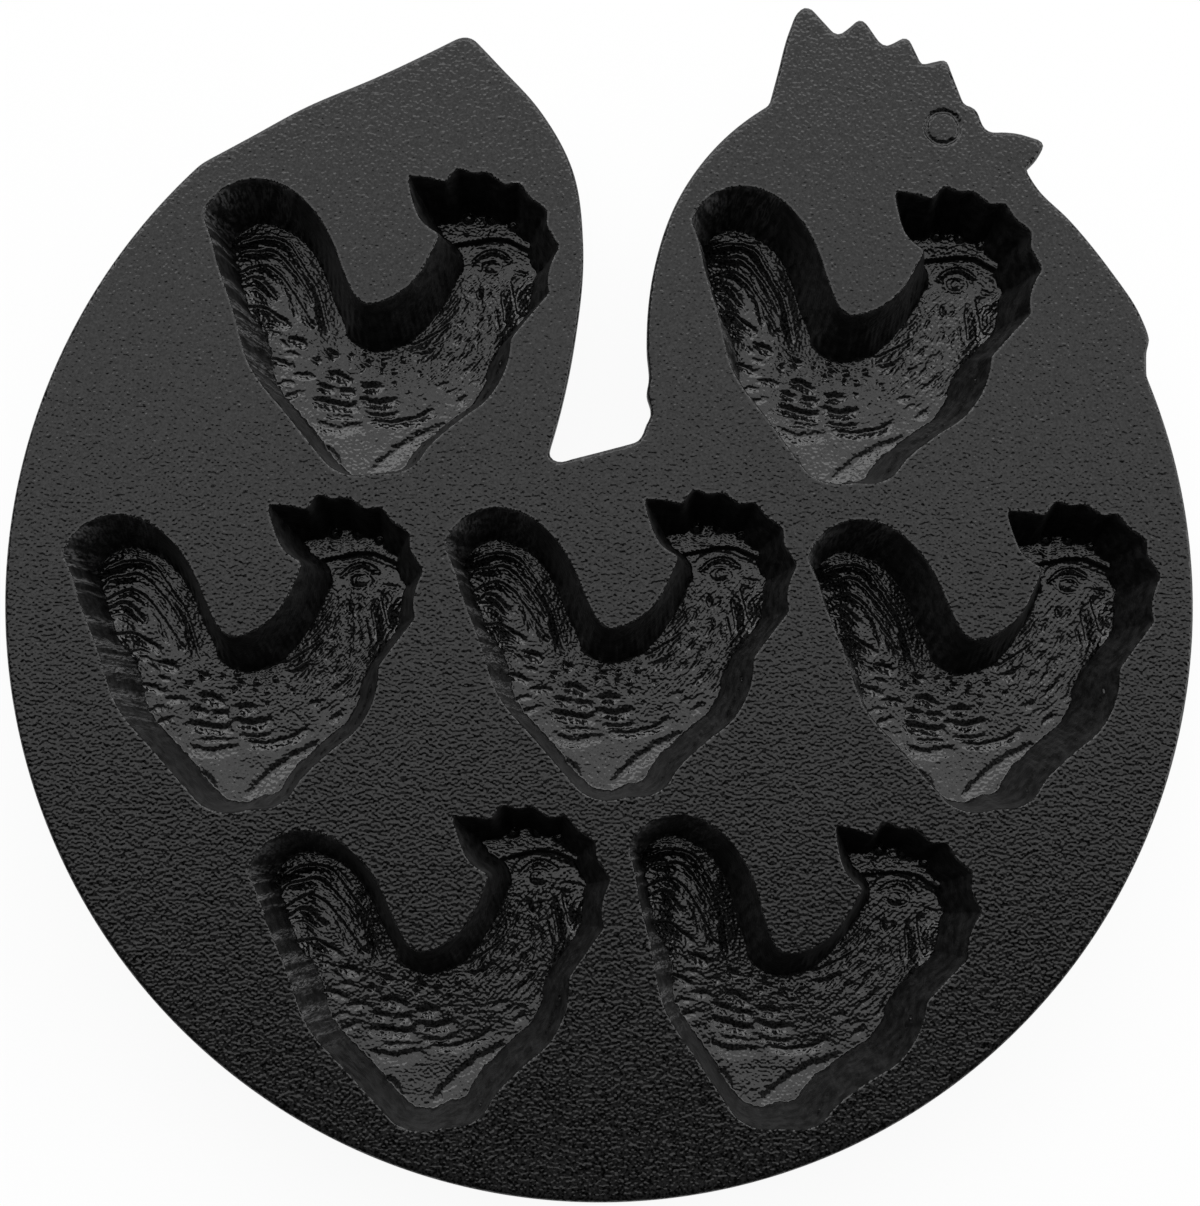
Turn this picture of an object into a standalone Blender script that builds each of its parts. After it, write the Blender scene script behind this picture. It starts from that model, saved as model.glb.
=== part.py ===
"""Rooster baking pan of seasoned cast iron: a flat deck in the outline of a rooster, with seven rooster moulds.

Metres, +Z up, +X to the beak. The pan stands on the flat bottoms of its moulds at z = 0, and the origin lies
under the middle of its outline. The real pan is one casting. Here it is the deck plate and the seven mould cups
under it, parted by a hairline seam at the underside of the deck.
"""

import math

import bmesh
import bpy
import numpy as np
from mathutils.geometry import delaunay_2d_cdt

MM = 0.001

# Heights and walls of the casting
CAVITY_DEPTH = 28.0 * MM
FLOOR_THICKNESS = 3.6 * MM
DECK_THICKNESS = 4.5 * MM
CUP_WALL = 3.2 * MM
SEAM = 0.3 * MM

# The body of the rooster is nearly round: its width, and how much longer it is than wide. It runs from the
# foot of the chest clockwise under the belly to the root of the tail.
BODY_WIDTH = 327.5 * MM
BODY_LONGER = 4.7 * MM
BODY_FROM = math.radians(21.4)
BODY_TO = math.radians(-228.0)
BODY_SPANS = 60
RIM_ROUND = 1.1 * MM

# Walls of a mould: draft from the vertical, rounded lip at the deck, and how softly they turn into the floor
DRAFT = math.radians(13.0)
LIP = 0.6 * MM
FLOOR_ROUND = 4.0 * MM
CUP_ROUND = 6.0 * MM

# The middle row of moulds fills the width of the body. Between rim and moulds it leaves these lands of flat
# deck, from left to right. Each mould has its name, its height on the body, its turn in degrees and the size of
# its pattern, which is cut by hand and never quite the same.
LANDS = (16.0 * MM, 5.8 * MM, 3.3 * MM, 9.2 * MM)
MIDDLE_ROW = (
    ("middle_left", -10.0, 0.0, 1.010),
    ("centre", -8.5, -0.5, 0.988),
    ("middle_right", -10.5, -0.3, 0.988),
)

# The moulds above and below that row: name, place on the body, turn in degrees and size of the pattern
OUTER_MOULDS = (
    ("top_left", (-37.9, 46.4), -2.6, 1.017),
    ("top_right", (44.3, 44.4), -5.6, 1.003),
    ("bottom_left", (-27.9, -61.9), 1.6, 1.003),
    ("bottom_right", (32.1, -62.3), -7.7, 0.992),
)

# Ring of the pan's own eye, a shallow groove in the deck, and its place on the body
EYE_PLACE = (59.1, 79.3)
EYE_RADIUS = 4.7 * MM
EYE_GROOVE = 0.8 * MM
EYE_SPANS = 24
GROOVE_SPANS = 6

# Form of a mould's floor, the negative of the cake's top. It is deepest under the body, in the middle of an
# oval with the reach below. The tail, neck and head lie higher, every edge rises towards its wall, and the
# breast rises more than the other edges.
BODY_SINK = 5.5 * MM
BODY_PLACE = (-1.0, -16.0)
BODY_REACH = (42.0, 34.0)
EDGE_RISE = 4.5 * MM
EDGE_RUN = 12.0 * MM
BREAST_RISE = 3.5 * MM
BREAST_RUN = 12.0 * MM
BREAST_FROM = 8.0
FACE_FROM = 26.5
FACE_SLOPE = 0.22
COMB_STEP = 2.6 * MM
STEP_RUN = 1.2 * MM
WING_SINK = 0.8 * MM
WING_SLOPE = 0.4

# The cups are this much thicker beside their middle, so that their middles are flat where the pan stands
STANDING_FLAT = 1.0 * MM

# Spacing of the points on curved edges and on the floors, how many steps of a grid stay clear of the rings,
# where the rings of a round lie in its softness from the wall's foot, and what a ring allows
PAN_STEP = 7.0 * MM
MOULD_STEP = 4.9 * MM
RELIEF_STEP = 6.3 * MM
BOTTOM_STEP = 8.4 * MM
GRID_CLEAR = 0.33
ROUND_RINGS = (-0.25, 0.1, 0.5)
LEAST_SIDE = 0.3 * MM
LEAST_SHARE = 0.93
LONGEST_MITRE = 1.6
SHARP_ANGLE = math.radians(35.0)

# Strokes of the pan's outline after the round body, in hundredths of the body's half width and half length
# from its middle. A stroke is a smooth curve through its points, and a corner lies where two strokes meet.
TAIL_BACK = ((-66.9, 73.9), (-59.8, 77.8), (-51.2, 82.6), (-37.5, 88.6), (-24.7, 94.9))
TAIL_TIP = ((-24.7, 94.9), (-22.8, 95.4), (-21.3, 94.9))
TAIL_FRONT = (
    (-21.3, 94.9), (-16.9, 90.2), (-10.0, 82.5), (-4.5, 72.4), (-2.6, 59.0), (-4.0, 42.6), (-8.2, 24.3),
)
NOTCH_CORNER = ((-8.2, 24.3), (-8.3, 22.8), (-6.9, 21.9), (-4.9, 22.3))
NOTCH_FLOOR = ((-4.9, 22.3), (0.2, 23.6), (6.6, 25.3))
NAPE = ((6.6, 25.3), (7.8, 31.4), (7.9, 40.8), (9.4, 54.6), (13.9, 67.5), (20.8, 76.8), (29.4, 83.4))
COMB_BACK = ((29.4, 83.4), (30.8, 88.6), (33.2, 97.0), (34.7, 100.1), (36.0, 100.8), (36.8, 100.4))
COMB_SPIKES = (
    (36.8, 100.4), (40.6, 96.1), (41.6, 95.7), (42.9, 96.7), (45.1, 98.6), (46.2, 97.9), (48.6, 94.3),
    (49.6, 93.7), (51.3, 94.5), (52.9, 95.5), (53.7, 94.9), (55.7, 90.5), (60.0, 91.5), (61.0, 88.6),
    (62.9, 83.4),
)
BROW = ((62.9, 83.4), (64.5, 83.0), (66.8, 78.9), (67.7, 78.6))
BEAK = ((67.7, 78.6), (74.2, 77.8), (76.6, 76.6), (76.2, 75.6), (73.3, 72.2))
CHEST = ((73.3, 72.2), (75.2, 68.9), (80.4, 63.6), (87.9, 54.0), (92.1, 46.2), (92.8, 43.6))
CHEST_FOOT = ((92.8, 43.6), (92.3, 40.9))
TAIL_AND_NAPE = (TAIL_BACK, TAIL_TIP, TAIL_FRONT, NOTCH_CORNER, NOTCH_FLOOR, NAPE, COMB_BACK)
FACE = (BROW, BEAK, CHEST, CHEST_FOOT)

# Strokes of a mould's mouth, in hundredths of its length from its middle, clockwise from the back tip of the
# comb
MOULD_COMB = (
    (6.9, 41.0), (12.4, 40.7), (17.6, 39.5), (19.1, 42.1), (21.1, 43.9), (24.4, 42.5), (29.0, 43.0),
    (33.8, 39.6), (38.1, 40.4), (41.3, 36.0), (46.1, 33.0), (46.1, 28.5), (50.0, 22.3),
)
MOULD_BEAK = ((50.0, 22.3), (47.6, 16.5), (47.1, 13.0), (47.8, 9.3))
MOULD_WATTLE = ((47.8, 9.3), (42.3, 2.1), (37.6, -4.4))
MOULD_BREAST = (
    (37.6, -4.4), (36.6, -12.8), (32.0, -21.6), (24.0, -28.4), (16.4, -35.8), (12.4, -41.5), (2.7, -43.8),
)
MOULD_FOOT = ((2.7, -43.8), (-8.1, -43.9), (-11.0, -42.3))
MOULD_RUMP = (
    (-11.0, -42.3), (-23.0, -28.7), (-34.2, -15.3), (-39.7, 0.1), (-45.0, 13.7), (-47.4, 21.3), (-50.0, 27.1),
)
MOULD_TAIL = (
    (-50.0, 27.1), (-46.4, 33.3), (-35.6, 38.2), (-26.2, 35.6), (-19.2, 29.8), (-13.6, 21.3), (-9.5, 11.7),
    (-5.4, 4.9), (-3.3, 3.5),
)
MOULD_NECK = ((-3.3, 3.5), (2.1, 4.8), (10.1, 10.9), (14.5, 19.2), (16.7, 24.9))
MOULD_COMB_BACK = ((16.7, 24.9), (11.4, 28.5), (8.4, 35.0), (6.9, 41.0))
MOULD_CURVES = (
    MOULD_BEAK, MOULD_WATTLE, MOULD_BREAST, MOULD_FOOT, MOULD_RUMP, MOULD_TAIL, MOULD_NECK, MOULD_COMB_BACK,
)

# On a mould's floor, in the same hundredths: the brow under the comb, and the oval of the folded wing
BROW_LINE = ((8.1, 29.5), (15.3, 28.5), (20.4, 30.0), (29.5, 32.0), (34.6, 31.6), (39.7, 29.0), (50.9, 23.4))
WING_PLACE = (-6.5, -12.0)
WING_RADII = (21.5, 10.5)

IRON_COLOUR = (0.030, 0.030, 0.031, 1.0)
IRON_ROUGHNESS = 0.62
IRON_METALLIC = 0.35

# What follows from the sizes above
DECK_TOP = CAVITY_DEPTH + FLOOR_THICKNESS
DECK_UNDERSIDE = DECK_TOP - DECK_THICKNESS
OUTER_FLOOR = CAVITY_DEPTH - BODY_SINK
BODY_UNIT = np.array([BODY_WIDTH, BODY_WIDTH + BODY_LONGER]) / 2 / 100
MOULD_LENGTH = (BODY_WIDTH - sum(LANDS)) / sum(size for _, _, _, size in MIDDLE_ROW)
MOULD_UNIT = MOULD_LENGTH / 100
LIP_FLARE = 2 * LIP
PLUG_TOP = DECK_TOP + 6 * LIP


def curve_through(stroke, unit, step):
    """Points about a step apart on a smooth curve through a stroke's points, without the last one.

    Each span is a cubic with its ends' slopes, and the slope at a point runs along its two neighbours.
    """
    points = np.array(stroke) * unit
    chord = np.linalg.norm(np.diff(points, axis=0), axis=1)
    along = np.concatenate([[0.0], np.cumsum(chord)])
    slope = np.gradient(points, along, axis=0, edge_order=min(2, len(points) - 1))
    samples = []
    for i, length in enumerate(chord):
        count = max(1, round(length / step))
        u = (np.arange(count) / count)[:, None]
        start = (2 * u**3 - 3 * u**2 + 1) * points[i] + (u**3 - 2 * u**2 + u) * length * slope[i]
        end = (3 * u**2 - 2 * u**3) * points[i + 1] + (u**3 - u**2) * length * slope[i + 1]
        samples.append(start + end)
    return np.concatenate(samples)


def straight_through(stroke, unit):
    """The stroke's own points, without the last one."""
    return np.array(stroke)[:-1] * unit


def pan_outline():
    """The pan's outline, clockwise from above: the round of the body, then tail, notch, nape, comb and face."""
    angle = np.linspace(BODY_FROM, BODY_TO, BODY_SPANS, endpoint=False)
    body = np.stack([np.cos(angle), np.sin(angle)], axis=1) * 100 * BODY_UNIT
    back = [curve_through(stroke, BODY_UNIT, PAN_STEP) for stroke in TAIL_AND_NAPE]
    face = [curve_through(stroke, BODY_UNIT, PAN_STEP) for stroke in FACE]
    return np.concatenate([body, *back, straight_through(COMB_SPIKES, BODY_UNIT), *face])


def mould_outline():
    """A mould's mouth where its walls meet the deck, clockwise from above, for a pattern of size 1."""
    curves = [curve_through(stroke, MOULD_UNIT, MOULD_STEP) for stroke in MOULD_CURVES]
    return np.concatenate([straight_through(MOULD_COMB, MOULD_UNIT), *curves])


def mould_places():
    """Name, middle, turn in degrees and size of each mould, measured from the middle of the body.

    The middle row is laid out from the left rim: a land, a mould's length, the next land, and so on.
    """
    places = [(name, np.array(place) * BODY_UNIT, turn, size) for name, place, turn, size in OUTER_MOULDS]
    left = -BODY_WIDTH / 2
    for land, (name, height, turn, size) in zip(LANDS, MIDDLE_ROW):
        length = MOULD_LENGTH * size
        places.append((name, np.array([left + land + length / 2, height * BODY_UNIT[1]]), turn, size))
        left += land + length
    return places


def inside_distance(points, outline):
    """How far each point lies inside an outline, negative where it lies outside."""
    start = outline[None]
    side = np.roll(outline, -1, axis=0)[None] - start
    to_point = points[:, None] - start
    share = np.clip((to_point * side).sum(2) / (side**2).sum(2), 0.0, 1.0)
    nearest = np.linalg.norm(to_point - share[..., None] * side, axis=2).min(axis=1)
    end = start + side
    spans = (start[..., 1] > points[:, None, 1]) != (end[..., 1] > points[:, None, 1])
    rise = np.where(side[..., 1] == 0, 1.0, side[..., 1])
    crossing = start[..., 0] + (points[:, None, 1] - start[..., 1]) * side[..., 0] / rise
    crossings = (spans & (points[:, None, 0] < crossing)).sum(axis=1)
    return np.where(crossings % 2 == 1, nearest, -nearest)


def moved_ring(outline, distance, longest_mitre=LONGEST_MITRE):
    """The outline moved inwards by a distance, or outwards where it is negative, corners kept sharp.

    A point that would come nearer to another stretch of the outline than the distance is left out.
    """
    before = outline - np.roll(outline, 1, axis=0)
    after = np.roll(outline, -1, axis=0) - outline
    before /= np.linalg.norm(before, axis=1)[:, None]
    after /= np.linalg.norm(after, axis=1)[:, None]
    along = before + after
    along /= np.linalg.norm(along, axis=1)[:, None]
    inwards = np.stack([along[:, 1], -along[:, 0]], axis=1)
    mitre = np.minimum(1.0 / np.maximum((along * after).sum(1), 1.0 / longest_mitre), longest_mitre)
    moved = outline + inwards * (distance * mitre)[:, None]
    if distance == 0.0:
        return moved
    kept = inside_distance(moved, outline) * math.copysign(1.0, distance) > LEAST_SHARE * abs(distance)
    moved = moved[kept]
    sides = np.linalg.norm(np.roll(moved, -1, axis=0) - moved, axis=1)
    return moved[sides > LEAST_SIDE]


def softer_least(one, other, softness):
    """The lesser of two depths, with a round of the given softness where they cross."""
    share = np.clip(0.5 + (other - one) / (2 * softness), 0.0, 1.0)
    return other + (one - other) * share - softness * share * (1.0 - share)


def wall_foot(start, depth):
    """How far from the mouth a drafted wall that leaves the lip at the start distance reaches a depth."""
    return start + (depth - LIP) * math.tan(DRAFT)


def soft_step(value, run):
    """0 below the run's start, 1 beyond its end, and a smooth rise between."""
    share = np.clip(value / run, 0.0, 1.0)
    return share * share * (3.0 - 2.0 * share)


def above_line(points, line):
    """How far each point lies above a line of the floor, measured along the mould's height in plan."""
    knots = np.array(line) * MOULD_UNIT
    return points[:, 1] - np.interp(points[:, 0], knots[:, 0], knots[:, 1])


def floor_depth(points, inside):
    """Depth of a mould's floor without its comb and wing, by place and by distance from the mouth."""
    across = (points / MOULD_UNIT - BODY_PLACE) / BODY_REACH
    body = BODY_SINK * np.clip(1.0 - (across**2).sum(axis=1), 0.0, None)
    edge = EDGE_RISE * np.clip(1.0 - inside / EDGE_RUN, 0.0, None) ** 2
    on_breast = soft_step(points[:, 0] - BREAST_FROM * MOULD_UNIT, BREAST_RUN)
    on_breast *= soft_step(-points[:, 1], BREAST_RUN)
    breast = BREAST_RISE * on_breast * np.clip(1.0 - inside / BREAST_RUN, 0.0, None)
    face = FACE_SLOPE * np.clip(points[:, 0] - FACE_FROM * MOULD_UNIT, 0.0, None) * (1.0 - on_breast)
    return OUTER_FLOOR + body - edge - breast - face


def mould_depth(points, outline):
    """Depth of a mould under the deck's top: lip, wall, round, and a floor with the rooster's main forms."""
    inside = inside_distance(points, outline)
    comb = COMB_STEP * soft_step(above_line(points, BROW_LINE), STEP_RUN)
    across_wing = (points / MOULD_UNIT - WING_PLACE) / WING_RADII
    past_wing = np.hypot(across_wing[:, 0], across_wing[:, 1]) - (1.0 - WING_SLOPE)
    wing = WING_SINK * (1.0 - soft_step(past_wing, WING_SLOPE))
    floor = np.minimum(floor_depth(points, inside) - comb + wing, CAVITY_DEPTH)
    depth = softer_least(LIP + inside / math.tan(DRAFT), floor, FLOOR_ROUND)
    return np.where(inside < 0.0, LIP + inside, depth)


def cup_depth(points, outline, start):
    """Depth of a cup's outside under the deck's top, flat where it has reached the ground."""
    inside = inside_distance(points, outline)
    wall = LIP + (inside - start) / math.tan(DRAFT)
    floor = floor_depth(points, inside - start) + FLOOR_THICKNESS + STANDING_FLAT
    return np.minimum(softer_least(wall, floor, CUP_ROUND), DECK_TOP)


def sheet(rings, lines, loose_points):
    """Vertices in plan and triangles of a sheet inside the first ring, with edges along every ring and line."""
    paths = list(rings) + list(lines)
    starts = np.cumsum([0] + [len(path) for path in paths])
    edges = []
    for number, path in enumerate(paths):
        order = np.arange(len(path))
        pairs = np.stack([order, np.roll(order, -1)], axis=1) + starts[number]
        edges += (pairs if number < len(rings) else pairs[:-1]).tolist()
    points = np.concatenate(paths + [loose_points])
    border = list(range(len(rings[0])))
    found = delaunay_2d_cdt([tuple(p) for p in points / MM], edges, [border], 1, 1e-4)
    return np.array([tuple(p) for p in found[0]]) * MM, [tuple(face) for face in found[2]]


def closed_mesh(name, vertices, faces, raised_to=None):
    """A closed mesh: the sheet's faces and a flat cap on its border, which may first be raised straight up."""
    shape = bmesh.new()
    made = [shape.verts.new(vertex) for vertex in vertices]
    for face in faces:
        shape.faces.new([made[corner] for corner in face])
    for vertex in [v for v in shape.verts if not v.link_faces]:
        shape.verts.remove(vertex)
    border = [edge for edge in shape.edges if edge.is_boundary]
    if raised_to is not None:
        raised = bmesh.ops.extrude_edge_only(shape, edges=border)["geom"]
        for vertex in [item for item in raised if isinstance(item, bmesh.types.BMVert)]:
            vertex.co.z = raised_to
        border = [edge for edge in shape.edges if edge.is_boundary]
    bmesh.ops.contextual_create(shape, geom=border)
    bmesh.ops.recalc_face_normals(shape, faces=shape.faces)
    mesh = bpy.data.meshes.new(name)
    shape.to_mesh(mesh)
    shape.free()
    return mesh


def loose_grid(step):
    """Points of a staggered grid over a mould."""
    reach = np.arange(-MOULD_LENGTH / 2, MOULD_LENGTH / 2, step)
    grid = np.stack(np.meshgrid(reach, reach), axis=-1)
    grid[1::2, :, 0] += step / 2
    return grid.reshape(-1, 2)


def plug_mesh():
    """The hollow of a mould as a solid, the cake, with the flare of its lip run on above the deck."""
    outline = mould_outline()
    foot = wall_foot(0.0, OUTER_FLOOR - EDGE_RISE / 2)
    rounds = [foot + share * FLOOR_ROUND for share in ROUND_RINGS]
    rings = [moved_ring(outline, distance) for distance in (-LIP_FLARE, 0.0, *rounds)]
    clear = rounds[-1] + GRID_CLEAR * RELIEF_STEP
    loose = loose_grid(RELIEF_STEP)
    brow = curve_through(BROW_LINE, MOULD_UNIT, RELIEF_STEP)
    lines = []
    for rise in (0.0, STEP_RUN):
        moved = brow + (0.0, rise)
        lines.append(moved[inside_distance(moved, outline) > rounds[-1]])
    loose = loose[np.abs(above_line(loose, BROW_LINE) - STEP_RUN / 2) > RELIEF_STEP / 2]
    plan, faces = sheet(rings, lines, loose[inside_distance(loose, outline) > clear])
    heights = DECK_TOP - mould_depth(plan, outline)
    return closed_mesh("plug", np.column_stack([plan, heights]), faces, raised_to=PLUG_TOP)


def cup_reach(wall):
    """How far a cup stands out beyond its mould's mouth where it meets the deck."""
    return wall / math.cos(DRAFT) - (DECK_THICKNESS + SEAM - LIP) * math.tan(DRAFT)


def cup_mesh(wall):
    """The solid block of one cup under the deck: drafted sides and a bottom that follows the mould's floor."""
    outline = mould_outline()
    start = -wall / math.cos(DRAFT)
    foot = wall_foot(start, OUTER_FLOOR + FLOOR_THICKNESS - EDGE_RISE / 2)
    rounds = [foot + share * CUP_ROUND for share in ROUND_RINGS]
    rings = [moved_ring(outline, distance, longest_mitre=1.0) for distance in (-cup_reach(wall), *rounds)]
    loose = loose_grid(BOTTOM_STEP)
    loose = loose[inside_distance(loose, outline) > rounds[-1] + GRID_CLEAR * BOTTOM_STEP]
    plan, faces = sheet(rings, [], loose)
    heights = DECK_TOP - cup_depth(plan, outline, start)
    heights[:len(rings[0])] = DECK_UNDERSIDE - SEAM
    return closed_mesh("cup", np.column_stack([plan, heights]), faces)


def deck_mesh(outline):
    """The deck's plate without its moulds, with its edge rounded above and below."""
    shape = bmesh.new()
    levels = (
        (RIM_ROUND, DECK_UNDERSIDE), (0.0, DECK_UNDERSIDE + RIM_ROUND),
        (0.0, DECK_TOP - RIM_ROUND), (RIM_ROUND, DECK_TOP),
    )
    rings = []
    for inset, height in levels:
        ring = moved_ring(outline, inset)
        rings.append([shape.verts.new((x, y, height)) for x, y in ring])
    for lower, upper in zip(rings, rings[1:]):
        for i, vertex in enumerate(lower):
            shape.faces.new((lower[i - 1], vertex, upper[i], upper[i - 1]))
    shape.faces.new(rings[0])
    shape.faces.new(rings[-1])
    bmesh.ops.recalc_face_normals(shape, faces=shape.faces)
    mesh = bpy.data.meshes.new("deck")
    shape.to_mesh(mesh)
    shape.free()
    return mesh


def cast_iron(name):
    """Seasoned cast iron: near black, dull, with the faint sheen of burnt-in oil."""
    material = bpy.data.materials.new(name)
    material.use_nodes = True
    shader = material.node_tree.nodes["Principled BSDF"]
    shader.inputs["Base Color"].default_value = IRON_COLOUR
    shader.inputs["Roughness"].default_value = IRON_ROUGHNESS
    shader.inputs["Metallic"].default_value = IRON_METALLIC
    material.diffuse_color = IRON_COLOUR
    return material


def as_cutter(thing):
    """Marks a thing as a cutter, which is no piece of the pan."""
    thing.hide_render = True
    thing.display_type = "WIRE"
    return thing


def add_object(name, mesh, material=None):
    """An object in the scene; one without a material is a cutter."""
    thing = bpy.data.objects.new(name, mesh)
    bpy.context.scene.collection.objects.link(thing)
    if material is None:
        return as_cutter(thing)
    mesh.materials.append(material)
    mesh.shade_smooth()
    mesh.set_sharp_from_angle(angle=SHARP_ANGLE)
    return thing


def cut(thing, cutter):
    """Takes the cutter's shape out of a thing."""
    modifier = thing.modifiers.new("without_" + cutter.name, "BOOLEAN")
    modifier.operation = "DIFFERENCE"
    modifier.solver = "EXACT"
    modifier.object = cutter


def place(thing, middle, spot, turn, size):
    """Puts a mould's piece at its spot on the pan, with the middle of the pan's outline over the origin."""
    thing.location = (spot[0] - middle[0], spot[1] - middle[1], 0.0)
    thing.rotation_euler = (0.0, 0.0, math.radians(turn))
    thing.scale = (size, size, 1.0)


def eye_cutter(middle):
    """The ring that is sunk into the deck for the pan's own eye."""
    x, y = np.array(EYE_PLACE) * BODY_UNIT - middle
    bpy.ops.mesh.primitive_torus_add(
        major_radius=EYE_RADIUS, minor_radius=EYE_GROOVE,
        major_segments=EYE_SPANS, minor_segments=GROOVE_SPANS, location=(x, y, DECK_TOP),
    )
    ring = bpy.context.object
    ring.name = "eye_ring_cutter"
    return as_cutter(ring)


def near_moulds(one, other, outline):
    """Whether two moulds lie so close that the walls of their cups would run into each other."""
    placed = []
    for _, spot, turn, size in (one, other):
        angle = math.radians(turn)
        turned = outline @ np.array([[math.cos(angle), math.sin(angle)], [-math.sin(angle), math.cos(angle)]])
        placed.append(turned * size + spot)
    return -inside_distance(placed[0], placed[1]).max() < 2 * cup_reach(CUP_WALL) + 2 * SEAM


def build():
    """Makes the deck and the seven cups, and cuts the moulds out of them."""
    for thing in list(bpy.data.objects):
        bpy.data.objects.remove(thing)
    outline = pan_outline()
    middle = (outline.max(axis=0) + outline.min(axis=0)) / 2
    deck = add_object("deck", deck_mesh(outline - middle), cast_iron("cast_iron_deck"))
    cut(deck, eye_cutter(middle))
    plug = plug_mesh()
    block = cup_mesh(CUP_WALL)
    clearance = cup_mesh(CUP_WALL + SEAM)
    mouth = mould_outline()
    iron = cast_iron("cast_iron_cups")
    moulds = mould_places()
    for number, (name, spot, turn, size) in enumerate(moulds):
        cutter = add_object("plug_" + name, plug)
        place(cutter, middle, spot, turn, size)
        cut(deck, cutter)
        cup = add_object("mould_cup_" + name, block.copy(), iron)
        place(cup, middle, spot, turn, size)
        cut(cup, cutter)
        for other in moulds[:number]:
            if near_moulds(moulds[number], other, mouth):
                room = add_object("room_for_" + other[0] + "_by_" + name, clearance)
                place(room, middle, *other[1:])
                cut(cup, room)


build()
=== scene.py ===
"""Rooster baking pan of seasoned cast iron, seen from above on white: deck, moulds, light and camera."""

import math

import bmesh
import bpy
import numpy as np
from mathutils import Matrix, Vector
from mathutils.geometry import delaunay_2d_cdt


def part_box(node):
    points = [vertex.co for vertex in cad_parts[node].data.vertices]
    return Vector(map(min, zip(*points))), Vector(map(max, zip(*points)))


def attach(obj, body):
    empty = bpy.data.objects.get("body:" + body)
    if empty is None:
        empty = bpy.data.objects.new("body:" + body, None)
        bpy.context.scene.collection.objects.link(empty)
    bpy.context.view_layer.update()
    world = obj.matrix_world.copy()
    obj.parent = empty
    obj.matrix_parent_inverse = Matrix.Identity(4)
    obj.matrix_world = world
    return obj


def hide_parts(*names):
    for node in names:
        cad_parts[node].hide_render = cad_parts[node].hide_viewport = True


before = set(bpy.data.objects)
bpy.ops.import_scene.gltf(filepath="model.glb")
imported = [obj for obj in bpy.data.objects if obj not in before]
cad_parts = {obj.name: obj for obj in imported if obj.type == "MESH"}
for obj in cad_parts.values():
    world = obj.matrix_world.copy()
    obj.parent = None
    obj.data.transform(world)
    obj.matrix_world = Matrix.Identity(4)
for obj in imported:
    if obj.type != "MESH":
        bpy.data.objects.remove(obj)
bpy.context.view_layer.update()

# Camera: it looks down from above the foot of the belly, tilted a little, with the pan off its axis.
MM = 0.001
DECK_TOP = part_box("deck")[1][2] / MM
BODY_MIDDLE = np.array([0.0, -0.72])
CAMERA_FOOT = np.array([-8.53, -99.18])
CAMERA_RISE = 560.0
CAMERA_TILT = 5.016
camera_data = bpy.data.cameras.new("camera")
camera_data.sensor_width = 36.0
camera_data.lens = 61.44
camera_data.shift_x = 0.0265
camera_data.shift_y = 0.1401
camera = bpy.data.objects.new("camera", camera_data)
camera.location = Vector((*(BODY_MIDDLE + CAMERA_FOOT), DECK_TOP + CAMERA_RISE)) * MM
camera.rotation_euler = (math.radians(CAMERA_TILT), 0.0, 0.0)
bpy.context.scene.collection.objects.link(camera)
bpy.context.scene.camera = camera

# Studio: a wide softbox hangs level, high over the far side, and ends just beyond the camera, so the pan
# shines evenly at the tail and the comb and falls into the dark at its foot. A brighter one follows it, for
# the feathers that face away, and two more stand at the back and on the right. The table is white paper.
scene = bpy.context.scene
scene.view_settings.view_transform = "Standard"


def softbox(name, middle, width, height, radiance, tilt=0.0, turn=0.0):
    """A rectangular lamp of an even radiance. It shines straight down, then is tilted towards the viewer and
    turned to the left."""
    data = bpy.data.lights.new(name, "AREA")
    data.shape = "RECTANGLE"
    data.size = width
    data.size_y = height
    data.energy = radiance * math.pi * width * height
    lamp = bpy.data.objects.new(name, data)
    lamp.location = middle
    lamp.rotation_euler = (-math.radians(tilt), 0.0, -math.radians(turn))
    lamp.visible_camera = False
    scene.collection.objects.link(lamp)


CEILING = 3.0
ROOM_WIDTH = 9.0
softbox("softbox_above", (0.0, 1.21, CEILING), width=ROOM_WIDTH, height=2.24, radiance=1.75)
softbox("softbox_far", (0.0, 3.74, CEILING), width=ROOM_WIDTH, height=2.82, radiance=4.2)
softbox("softbox_behind", (0.0, 5.15, CEILING / 2), width=ROOM_WIDTH, height=2.9, radiance=1.6, tilt=90.0)
softbox("softbox_right", (4.5, 0.6, 1.6), width=4.0, height=2.6, radiance=3.0, tilt=90.0, turn=90.0)

# The room is white to the camera. In a mirror it is white near the horizon and dark above, which keeps the
# iron black.
HORIZON_LOW, HORIZON_HIGH = 0.05, 0.15
DARK_ROOM = 0.05
world = bpy.data.worlds.new("room")
world.use_nodes = True
scene.world = world
room = world.node_tree
background = room.nodes["Background"]
background.inputs["Color"].default_value = (1.0, 1.0, 1.0, 1.0)
rays = room.nodes.new("ShaderNodeLightPath")
direction = room.nodes.new("ShaderNodeSeparateXYZ")
room.links.new(room.nodes.new("ShaderNodeTexCoord").outputs["Generated"], direction.inputs["Vector"])
horizon = room.nodes.new("ShaderNodeMapRange")
horizon.inputs["From Min"].default_value = HORIZON_LOW
horizon.inputs["From Max"].default_value = HORIZON_HIGH
horizon.inputs["To Min"].default_value = 1.0
horizon.inputs["To Max"].default_value = 0.0
room.links.new(direction.outputs["Z"], horizon.inputs["Value"])


def either_of(tree, first, second, operation):
    """The greater of two values in a node tree, or their product."""
    node = tree.nodes.new("ShaderNodeMath")
    node.operation = operation
    tree.links.new(first, node.inputs[0])
    tree.links.new(second, node.inputs[1])
    return node.outputs[0]


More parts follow.
